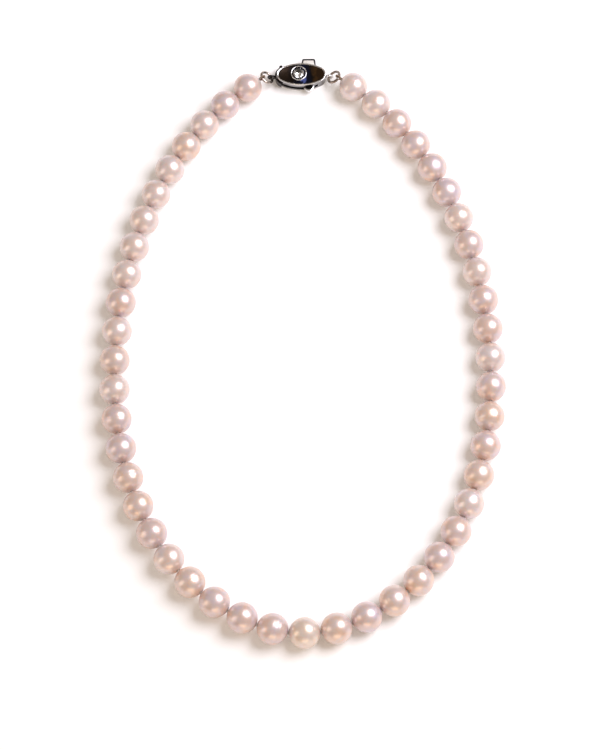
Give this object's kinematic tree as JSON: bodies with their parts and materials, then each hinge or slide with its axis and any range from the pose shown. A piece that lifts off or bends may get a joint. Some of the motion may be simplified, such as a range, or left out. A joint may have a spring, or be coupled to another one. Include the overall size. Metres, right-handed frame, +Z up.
{
  "type": "pearl necklace",
  "caption": "Single-strand knotted pearl necklace with jump rings and an oval stone-set box clasp with press tabs.",
  "frame": {"origin": "on the table, under the middle of the closed necklace as it lies", "axes": "+Z up from the table, +Y towards the clasp, +X to the right with the clasp at the top"},
  "size_m": [0.1164, 0.1816, 0.0088],
  "materials": {
    "pearl": "gloss",
    "silk": "satin",
    "gimp": "satin",
    "polished_silver": "polished",
    "dark_silver": "polished",
    "clear_stone": "gloss"
  },
  "bodies": {
    "pearl_01": {"pearl_01": "pearl"},
    "pearl_02": {"pearl_02": "pearl"},
    "pearl_03": {"pearl_03": "pearl"},
    "pearl_04": {"pearl_04": "pearl"},
    "pearl_05": {"pearl_05": "pearl"},
    "pearl_06": {"pearl_06": "pearl"},
    "pearl_07": {"pearl_07": "pearl"},
    "pearl_08": {"pearl_08": "pearl"},
    "pearl_09": {"pearl_09": "pearl"},
    "pearl_10": {"pearl_10": "pearl"},
    "pearl_11": {"pearl_11": "pearl"},
    "pearl_12": {"pearl_12": "pearl"},
    "pearl_13": {"pearl_13": "pearl"},
    "pearl_14": {"pearl_14": "pearl"},
    "pearl_15": {"pearl_15": "pearl"},
    "pearl_16": {"pearl_16": "pearl"},
    "pearl_17": {"pearl_17": "pearl"},
    "pearl_18": {"pearl_18": "pearl"},
    "pearl_19": {"pearl_19": "pearl"},
    "pearl_20": {"pearl_20": "pearl"},
    "pearl_21": {"pearl_21": "pearl"},
    "pearl_22": {"pearl_22": "pearl"},
    "pearl_23": {"pearl_23": "pearl"},
    "pearl_24": {"pearl_24": "pearl", "silk_thread": "silk"},
    "pearl_25": {"pearl_25": "pearl"},
    "pearl_26": {"pearl_26": "pearl"},
    "pearl_27": {"pearl_27": "pearl"},
    "pearl_28": {"pearl_28": "pearl"},
    "pearl_29": {"pearl_29": "pearl"},
    "pearl_30": {"pearl_30": "pearl"},
    "pearl_31": {"pearl_31": "pearl"},
    "pearl_32": {"pearl_32": "pearl"},
    "pearl_33": {"pearl_33": "pearl"},
    "pearl_34": {"pearl_34": "pearl"},
    "pearl_35": {"pearl_35": "pearl"},
    "pearl_36": {"pearl_36": "pearl"},
    "pearl_37": {"pearl_37": "pearl"},
    "pearl_38": {"pearl_38": "pearl"},
    "pearl_39": {"pearl_39": "pearl"},
    "pearl_40": {"pearl_40": "pearl"},
    "pearl_41": {"pearl_41": "pearl"},
    "pearl_42": {"pearl_42": "pearl"},
    "pearl_43": {"pearl_43": "pearl"},
    "pearl_44": {"pearl_44": "pearl"},
    "pearl_45": {"pearl_45": "pearl"},
    "pearl_46": {"pearl_46": "pearl"},
    "pearl_47": {"pearl_47": "pearl"},
    "left_gimp_loop": {"left_gimp_loop": "gimp"},
    "left_jump_ring": {"left_jump_ring": "polished_silver"},
    "right_gimp_loop": {"right_gimp_loop": "gimp"},
    "right_jump_ring": {"right_jump_ring": "polished_silver"},
    "clasp_box": {"clasp_shell": "polished_silver", "clasp_back": "polished_silver", "stone_cup": "polished_silver", "centre_stone": "clear_stone"},
    "tongue": {"tongue_plate": "polished_silver", "end_guard": "dark_silver"},
    "upper_press_arm": {"upper_press_arm": "polished_silver"},
    "lower_press_arm": {"lower_press_arm": "polished_silver"}
  },
  "joints": [
    {"name": "right_strand_opens", "type": "hinge", "parent": "pearl_24", "child": "pearl_27", "pos_m": [0.01333, -0.08387, 0.00439], "axis": [0, 0, -1], "range_deg": [0, 19], "deforming": ["silk_thread"]},
    {"name": "knot_24_25", "type": "hinge", "parent": "pearl_24", "child": "pearl_25", "pos_m": [0.00455, -0.08636, 0.00441], "axis": [0, 0, -1], "range_deg": [0, 6.34]},
    {"name": "knot_26_27", "type": "hinge", "parent": "pearl_27", "child": "pearl_26", "pos_m": [0.02145, -0.07991, 0.00439], "axis": [0, 0, -1], "range_deg": [-6.34, 0]},
    {"name": "knot_28_29", "type": "hinge", "parent": "pearl_27", "child": "pearl_30", "pos_m": [0.03525, -0.06819, 0.00437], "axis": [0, 0, -1], "range_deg": [0, 10.79]},
    {"name": "knot_27_28", "type": "hinge", "parent": "pearl_27", "child": "pearl_28", "pos_m": [0.02884, -0.07458, 0.00439], "axis": [0, 0, -1], "range_deg": [0, 3.6]},
    {"name": "knot_29_30", "type": "hinge", "parent": "pearl_30", "child": "pearl_29", "pos_m": [0.04063, -0.06096, 0.00437], "axis": [0, 0, -1], "range_deg": [-3.6, 0]},
    {"name": "knot_31_32", "type": "hinge", "parent": "pearl_30", "child": "pearl_33", "pos_m": [0.04843, -0.04471, 0.00435], "axis": [0, 0, -1], "range_deg": [0, 6.97]},
    {"name": "knot_30_31", "type": "hinge", "parent": "pearl_30", "child": "pearl_31", "pos_m": [0.04504, -0.05302, 0.00436], "axis": [0, 0, -1], "range_deg": [0, 2.32]},
    {"name": "knot_32_33", "type": "hinge", "parent": "pearl_33", "child": "pearl_32", "pos_m": [0.05095, -0.03606, 0.00435], "axis": [0, 0, -1], "range_deg": [-2.32, 0]},
    {"name": "knot_34_35", "type": "hinge", "parent": "pearl_33", "child": "pearl_36", "pos_m": [0.05364, -0.01835, 0.00433], "axis": [0, 0, -1], "range_deg": [0, 3.19]},
    {"name": "knot_33_34", "type": "hinge", "parent": "pearl_33", "child": "pearl_34", "pos_m": [0.05266, -0.02722, 0.00433], "axis": [0, 0, -1], "range_deg": [0, 1.06]},
    {"name": "knot_35_36", "type": "hinge", "parent": "pearl_36", "child": "pearl_35", "pos_m": [0.05399, -0.00937, 0.00433], "axis": [0, 0, -1], "range_deg": [-1.06, 0]},
    {"name": "knot_37_38", "type": "hinge", "parent": "pearl_36", "child": "pearl_39", "pos_m": [0.05297, 0.00839, 0.00431], "axis": [0, 0, -1], "range_deg": [-0.7685, 0]},
    {"name": "knot_36_37", "type": "hinge", "parent": "pearl_36", "child": "pearl_37", "pos_m": [0.05375, -0.00046, 0.0043], "axis": [0, 0, -1], "range_deg": [-0.2563, 0]},
    {"name": "knot_38_39", "type": "hinge", "parent": "pearl_39", "child": "pearl_38", "pos_m": [0.05164, 0.01723, 0.00429], "axis": [0, 0, -1], "range_deg": [0, 0.2563]},
    {"name": "knot_40_41", "type": "hinge", "parent": "pearl_39", "child": "pearl_42", "pos_m": [0.04732, 0.03438, 0.00428], "axis": [0, 0, -1], "range_deg": [-4.89, 0]},
    {"name": "knot_39_40", "type": "hinge", "parent": "pearl_39", "child": "pearl_40", "pos_m": [0.04977, 0.02585, 0.00427], "axis": [0, 0, -1], "range_deg": [-1.63, 0]},
    {"name": "knot_41_42", "type": "hinge", "parent": "pearl_42", "child": "pearl_41", "pos_m": [0.04427, 0.04268, 0.00425], "axis": [0, 0, -1], "range_deg": [0, 1.63]},
    {"name": "knot_43_44", "type": "hinge", "parent": "pearl_42", "child": "pearl_45", "pos_m": [0.0362, 0.05831, 0.00424], "axis": [0, 0, -1], "range_deg": [-9.26, 0]},
    {"name": "knot_42_43", "type": "hinge", "parent": "pearl_42", "child": "pearl_43", "pos_m": [0.04059, 0.05064, 0.00425], "axis": [0, 0, -1], "range_deg": [-3.09, 0]},
    {"name": "knot_44_45", "type": "hinge", "parent": "pearl_45", "child": "pearl_44", "pos_m": [0.03117, 0.06545, 0.00422], "axis": [0, 0, -1], "range_deg": [0, 3.09]},
    {"name": "knot_46_47", "type": "hinge", "parent": "pearl_45", "child": "pearl_47", "pos_m": [0.01903, 0.07802, 0.0042], "axis": [0, 0, -1], "range_deg": [-9.13, 0]},
    {"name": "knot_45_46", "type": "hinge", "parent": "pearl_45", "child": "pearl_46", "pos_m": [0.02544, 0.07205, 0.00423], "axis": [0, 0, -1], "range_deg": [-4.57, 0]},
    {"name": "right_thread_end_bends", "type": "hinge", "parent": "pearl_47", "child": "right_gimp_loop", "pos_m": [0.01222, 0.08311, 0.00417], "axis": [0, 0, -1], "range_deg": [-6.02, 0]},
    {"name": "right_ring_link_turns", "type": "hinge", "parent": "right_gimp_loop", "child": "clasp_box", "pos_m": [0.01129, 0.08381, 0.00417], "axis": [0, 0, -1], "range_deg": [-9.89, 0]},
    {"name": "right_jump_ring_turns", "type": "hinge", "parent": "clasp_box", "child": "right_jump_ring", "pos_m": [0.00995, 0.08443, 0.00299], "axis": [-0.5664, 0.2641, 0.7806], "continuous": true},
    {"name": "left_strand_opens", "type": "hinge", "parent": "pearl_24", "child": "pearl_21", "pos_m": [-0.01333, -0.08387, 0.00439], "axis": [0, 0, 1], "range_deg": [0, 19], "deforming": ["silk_thread"]},
    {"name": "knot_23_24", "type": "hinge", "parent": "pearl_24", "child": "pearl_23", "pos_m": [-0.00455, -0.08636, 0.00441], "axis": [0, 0, 1], "range_deg": [0, 6.34]},
    {"name": "knot_21_22", "type": "hinge", "parent": "pearl_21", "child": "pearl_22", "pos_m": [-0.02145, -0.07991, 0.00439], "axis": [0, 0, 1], "range_deg": [-6.34, 0]},
    {"name": "knot_19_20", "type": "hinge", "parent": "pearl_21", "child": "pearl_18", "pos_m": [-0.03525, -0.06819, 0.00437], "axis": [0, 0, 1], "range_deg": [0, 10.79]},
    {"name": "knot_20_21", "type": "hinge", "parent": "pearl_21", "child": "pearl_20", "pos_m": [-0.02884, -0.07458, 0.00439], "axis": [0, 0, 1], "range_deg": [0, 3.6]},
    {"name": "knot_18_19", "type": "hinge", "parent": "pearl_18", "child": "pearl_19", "pos_m": [-0.04063, -0.06096, 0.00437], "axis": [0, 0, 1], "range_deg": [-3.6, 0]},
    {"name": "knot_16_17", "type": "hinge", "parent": "pearl_18", "child": "pearl_15", "pos_m": [-0.04843, -0.04471, 0.00435], "axis": [0, 0, 1], "range_deg": [0, 6.97]},
    {"name": "knot_17_18", "type": "hinge", "parent": "pearl_18", "child": "pearl_17", "pos_m": [-0.04504, -0.05302, 0.00436], "axis": [0, 0, 1], "range_deg": [0, 2.32]},
    {"name": "knot_15_16", "type": "hinge", "parent": "pearl_15", "child": "pearl_16", "pos_m": [-0.05095, -0.03606, 0.00435], "axis": [0, 0, 1], "range_deg": [-2.32, 0]},
    {"name": "knot_13_14", "type": "hinge", "parent": "pearl_15", "child": "pearl_12", "pos_m": [-0.05364, -0.01835, 0.00433], "axis": [0, 0, 1], "range_deg": [0, 3.19]},
    {"name": "knot_14_15", "type": "hinge", "parent": "pearl_15", "child": "pearl_14", "pos_m": [-0.05266, -0.02722, 0.00433], "axis": [0, 0, 1], "range_deg": [0, 1.06]},
    {"name": "knot_12_13", "type": "hinge", "parent": "pearl_12", "child": "pearl_13", "pos_m": [-0.05399, -0.00937, 0.00433], "axis": [0, 0, 1], "range_deg": [-1.06, 0]},
    {"name": "knot_10_11", "type": "hinge", "parent": "pearl_12", "child": "pearl_09", "pos_m": [-0.05297, 0.00839, 0.00431], "axis": [0, 0, 1], "range_deg": [-0.7685, 0]},
    {"name": "knot_11_12", "type": "hinge", "parent": "pearl_12", "child": "pearl_11", "pos_m": [-0.05375, -0.00046, 0.0043], "axis": [0, 0, 1], "range_deg": [-0.2563, 0]},
    {"name": "knot_09_10", "type": "hinge", "parent": "pearl_09", "child": "pearl_10", "pos_m": [-0.05164, 0.01723, 0.00429], "axis": [0, 0, 1], "range_deg": [0, 0.2563]},
    {"name": "knot_07_08", "type": "hinge", "parent": "pearl_09", "child": "pearl_06", "pos_m": [-0.04732, 0.03438, 0.00428], "axis": [0, 0, 1], "range_deg": [-4.89, 0]},
    {"name": "knot_08_09", "type": "hinge", "parent": "pearl_09", "child": "pearl_08", "pos_m": [-0.04977, 0.02585, 0.00427], "axis": [0, 0, 1], "range_deg": [-1.63, 0]},
    {"name": "knot_06_07", "type": "hinge", "parent": "pearl_06", "child": "pearl_07", "pos_m": [-0.04427, 0.04268, 0.00425], "axis": [0, 0, 1], "range_deg": [0, 1.63]},
    {"name": "knot_04_05", "type": "hinge", "parent": "pearl_06", "child": "pearl_03", "pos_m": [-0.0362, 0.05831, 0.00424], "axis": [0, 0, 1], "range_deg": [-9.26, 0]},
    {"name": "knot_05_06", "type": "hinge", "parent": "pearl_06", "child": "pearl_05", "pos_m": [-0.04059, 0.05064, 0.00425], "axis": [0, 0, 1], "range_deg": [-3.09, 0]},
    {"name": "knot_03_04", "type": "hinge", "parent": "pearl_03", "child": "pearl_04", "pos_m": [-0.03117, 0.06545, 0.00422], "axis": [0, 0, 1], "range_deg": [0, 3.09]},
    {"name": "knot_01_02", "type": "hinge", "parent": "pearl_03", "child": "pearl_01", "pos_m": [-0.01903, 0.07802, 0.0042], "axis": [0, 0, 1], "range_deg": [-9.13, 0]},
    {"name": "knot_02_03", "type": "hinge", "parent": "pearl_03", "child": "pearl_02", "pos_m": [-0.02544, 0.07205, 0.00423], "axis": [0, 0, 1], "range_deg": [-4.57, 0]},
    {"name": "left_thread_end_bends", "type": "hinge", "parent": "pearl_01", "child": "left_gimp_loop", "pos_m": [-0.01222, 0.08311, 0.00417], "axis": [0, 0, 1], "range_deg": [-6.02, 0]},
    {"name": "left_ring_link_turns", "type": "hinge", "parent": "left_gimp_loop", "child": "tongue", "pos_m": [-0.01129, 0.08381, 0.00417], "axis": [0, 0, 1], "range_deg": [-9.89, 0]},
    {"name": "left_jump_ring_turns", "type": "hinge", "parent": "tongue", "child": "left_jump_ring", "pos_m": [-0.00995, 0.08443, 0.00299], "axis": [0.5664, 0.2641, 0.7806], "continuous": true},
    {"name": "upper_tab_presses", "type": "hinge", "parent": "tongue", "child": "upper_press_arm", "pos_m": [-0.00413, 0.08636, 0.0018], "axis": [0, 0, -1], "range_deg": [0, 7], "stiffness_Nm_per_rad": 0.05},
    {"name": "lower_tab_presses", "type": "hinge", "parent": "tongue", "child": "lower_press_arm", "pos_m": [-0.00413, 0.08376, 0.0018], "axis": [0, 0, 1], "range_deg": [0, 7], "stiffness_Nm_per_rad": 0.05}
  ],
  "couplings": [
    {"joint": "knot_24_25", "follows": "right_strand_opens", "ratio": 0.33333},
    {"joint": "knot_26_27", "follows": "right_strand_opens", "ratio": -0.33333},
    {"joint": "knot_28_29", "follows": "right_strand_opens", "ratio": 0.5671},
    {"joint": "knot_27_28", "follows": "right_strand_opens", "ratio": 0.18903},
    {"joint": "knot_29_30", "follows": "right_strand_opens", "ratio": -0.18903},
    {"joint": "knot_31_32", "follows": "right_strand_opens", "ratio": 0.3663},
    {"joint": "knot_30_31", "follows": "right_strand_opens", "ratio": 0.1221},
    {"joint": "knot_32_33", "follows": "right_strand_opens", "ratio": -0.1221},
    {"joint": "knot_34_35", "follows": "right_strand_opens", "ratio": 0.1677},
    {"joint": "knot_33_34", "follows": "right_strand_opens", "ratio": 0.0559},
    {"joint": "knot_35_36", "follows": "right_strand_opens", "ratio": -0.0559},
    {"joint": "knot_37_38", "follows": "right_strand_opens", "ratio": -0.0404},
    {"joint": "knot_36_37", "follows": "right_strand_opens", "ratio": -0.013467},
    {"joint": "knot_38_39", "follows": "right_strand_opens", "ratio": 0.013467},
    {"joint": "knot_40_41", "follows": "right_strand_opens", "ratio": -0.257},
    {"joint": "knot_39_40", "follows": "right_strand_opens", "ratio": -0.085667},
    {"joint": "knot_41_42", "follows": "right_strand_opens", "ratio": 0.085667},
    {"joint": "knot_43_44", "follows": "right_strand_opens", "ratio": -0.4871},
    {"joint": "knot_42_43", "follows": "right_strand_opens", "ratio": -0.16237},
    {"joint": "knot_44_45", "follows": "right_strand_opens", "ratio": 0.16237},
    {"joint": "knot_46_47", "follows": "right_strand_opens", "ratio": -0.4801},
    {"joint": "knot_45_46", "follows": "right_strand_opens", "ratio": -0.24005},
    {"joint": "right_thread_end_bends", "follows": "right_strand_opens", "ratio": -0.3163},
    {"joint": "right_ring_link_turns", "follows": "right_strand_opens", "ratio": -0.5202},
    {"joint": "knot_23_24", "follows": "left_strand_opens", "ratio": 0.33333},
    {"joint": "knot_21_22", "follows": "left_strand_opens", "ratio": -0.33333},
    {"joint": "knot_19_20", "follows": "left_strand_opens", "ratio": 0.5671},
    {"joint": "knot_20_21", "follows": "left_strand_opens", "ratio": 0.18903},
    {"joint": "knot_18_19", "follows": "left_strand_opens", "ratio": -0.18903},
    {"joint": "knot_16_17", "follows": "left_strand_opens", "ratio": 0.3663},
    {"joint": "knot_17_18", "follows": "left_strand_opens", "ratio": 0.1221},
    {"joint": "knot_15_16", "follows": "left_strand_opens", "ratio": -0.1221},
    {"joint": "knot_13_14", "follows": "left_strand_opens", "ratio": 0.1677},
    {"joint": "knot_14_15", "follows": "left_strand_opens", "ratio": 0.0559},
    {"joint": "knot_12_13", "follows": "left_strand_opens", "ratio": -0.0559},
    {"joint": "knot_10_11", "follows": "left_strand_opens", "ratio": -0.0404},
    {"joint": "knot_11_12", "follows": "left_strand_opens", "ratio": -0.013467},
    {"joint": "knot_09_10", "follows": "left_strand_opens", "ratio": 0.013467},
    {"joint": "knot_07_08", "follows": "left_strand_opens", "ratio": -0.257},
    {"joint": "knot_08_09", "follows": "left_strand_opens", "ratio": -0.085667},
    {"joint": "knot_06_07", "follows": "left_strand_opens", "ratio": 0.085667},
    {"joint": "knot_04_05", "follows": "left_strand_opens", "ratio": -0.4871},
    {"joint": "knot_05_06", "follows": "left_strand_opens", "ratio": -0.16237},
    {"joint": "knot_03_04", "follows": "left_strand_opens", "ratio": 0.16237},
    {"joint": "knot_01_02", "follows": "left_strand_opens", "ratio": -0.4801},
    {"joint": "knot_02_03", "follows": "left_strand_opens", "ratio": -0.24005},
    {"joint": "left_thread_end_bends", "follows": "left_strand_opens", "ratio": -0.3163},
    {"joint": "left_ring_link_turns", "follows": "left_strand_opens", "ratio": -0.5202}
  ]
}
